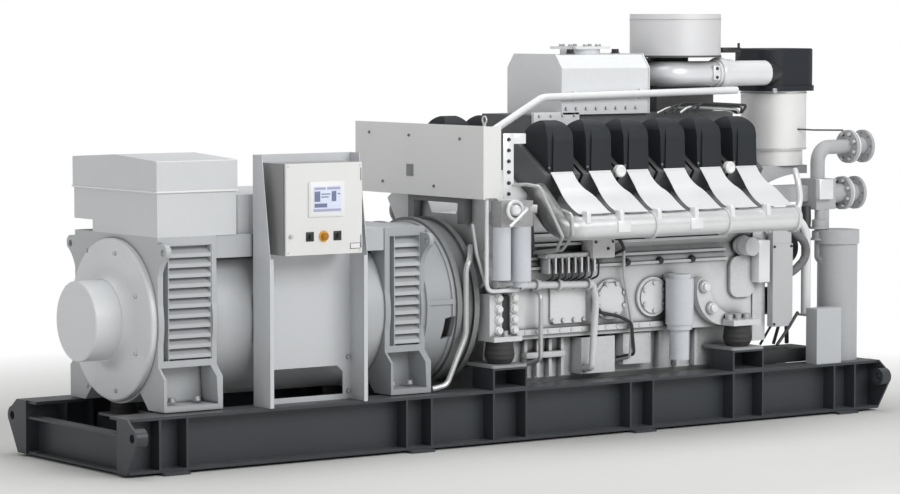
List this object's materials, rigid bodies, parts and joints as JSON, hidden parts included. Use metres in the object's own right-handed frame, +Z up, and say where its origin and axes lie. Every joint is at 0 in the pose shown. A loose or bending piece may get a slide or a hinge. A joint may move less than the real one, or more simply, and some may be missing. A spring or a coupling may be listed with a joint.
{
  "type": "diesel generating set with a high-speed V engine",
  "caption": "Stationary generating set: V-form high-speed diesel engine coupled to a generator on a steel skid, with control cabinet and coolers.",
  "frame": {"origin": "centre of the foundation bolt pattern, on the floor under the skid", "axes": "+X along the set from the generator to the engine's free end, +Z up, -Y the side of the control cabinet"},
  "size_m": [5.538, 1.804, 2.464],
  "materials": {
    "skid_paint": "semi-gloss anthracite paint",
    "plate_steel": "light grey paint",
    "rubber": "matt black rubber",
    "generator_paint": "silver grey paint",
    "dark_paint": "fine-textured dark paint",
    "engine_paint": "engine grey paint over castings",
    "cover_black": "satin black",
    "exhaust_lagging": "dull steel jacket",
    "filter_paint": "pale grey enamel",
    "shield_sheet": "bright sheet steel",
    "cabinet_paint": "light powder coat",
    "display_plastic": "dark bezel",
    "switch_plastic": "black plastic",
    "stop_collar": "amber plastic",
    "stop_amber": "amber plastic",
    "pipe_paint": "grey paint"
  },
  "bodies": {
    "generating_set": {"air_filter_canister": "shield_sheet", "air_filter_hood": "cover_black", "auxiliary_motor": "engine_paint", "bearing_cover": "generator_paint", "cabinet_bracket": "dark_paint", "cable_box": "generator_paint", "canister_filters": "filter_paint", "charge_air_cooler": "engine_paint", "control_cabinet": "cabinet_paint", "control_stand": "dark_paint", "coolant_block": "pipe_paint", "coolant_column": "pipe_paint", "cooler_flange": "engine_paint", "coupling_housing": "dark_paint", "crankcase": "engine_paint", "crankcase_covers": "engine_paint", "cross_beams": "skid_paint", "cylinder_heads": "engine_paint", "damper_cover": "engine_paint", "end_beam_left": "skid_paint", "end_beam_right": "skid_paint", "end_shield": "generator_paint", "engine_mounts": "rubber", "engine_pedestals": "skid_paint", "engine_pipes": "pipe_paint", "exhaust_manifolds": "exhaust_lagging", "exhaust_outlet": "shield_sheet", "filter_support": "engine_paint", "flywheel_housing": "engine_paint", "foundation_pads": "skid_paint", "front_engine_brackets": "engine_paint", "gear_case": "engine_paint", "generator_drive_frame": "generator_paint", "generator_mounts": "rubber", "generator_rear_frame": "generator_paint", "heat_shields": "shield_sheet", "intake_pipe": "engine_paint", "junction_box": "cabinet_paint", "lifting_bosses": "skid_paint", "long_cabinet": "cabinet_paint", "louvre_covers": "generator_paint", "mount_plates": "plate_steel", "oil_sump": "engine_paint", "rear_engine_brackets": "engine_paint", "rocker_covers": "cover_black", "side_beam_back": "skid_paint", "side_beam_front": "skid_paint", "small_box": "dark_paint", "stator_housing": "generator_paint", "terminal_box": "generator_paint", "terminal_lid": "generator_paint", "turbocharger_block": "exhaust_lagging", "upper_coolant_pipe": "pipe_paint", "valley_housing": "engine_paint"},
    "cabinet_door": {"cabinet_door": "cabinet_paint", "display": "display_plastic", "stop_collar": "stop_collar"},
    "stop_button": {"stop_button": "stop_amber"},
    "left_switch": {"left_switch": "switch_plastic"},
    "right_switch": {"right_switch": "switch_plastic"}
  },
  "joints": [
    {"name": "door_hinge", "type": "hinge", "parent": "generating_set", "child": "cabinet_door", "pos_m": [-1.249, -0.68, 1.4], "axis": [0, 0, 1], "range_deg": [0, 110]},
    {"name": "stop_push", "type": "slide", "parent": "cabinet_door", "child": "stop_button", "axis": [0, 1, 0], "range_m": [0, 0.006]},
    {"name": "left_switch_turn", "type": "hinge", "parent": "cabinet_door", "child": "left_switch", "pos_m": [-1.595, -0.7, 1.25], "axis": [0, 1, 0], "range_deg": [-45, 45]},
    {"name": "right_switch_turn", "type": "hinge", "parent": "cabinet_door", "child": "right_switch", "pos_m": [-1.415, -0.7, 1.25], "axis": [0, 1, 0], "range_deg": [-45, 45]}
  ]
}
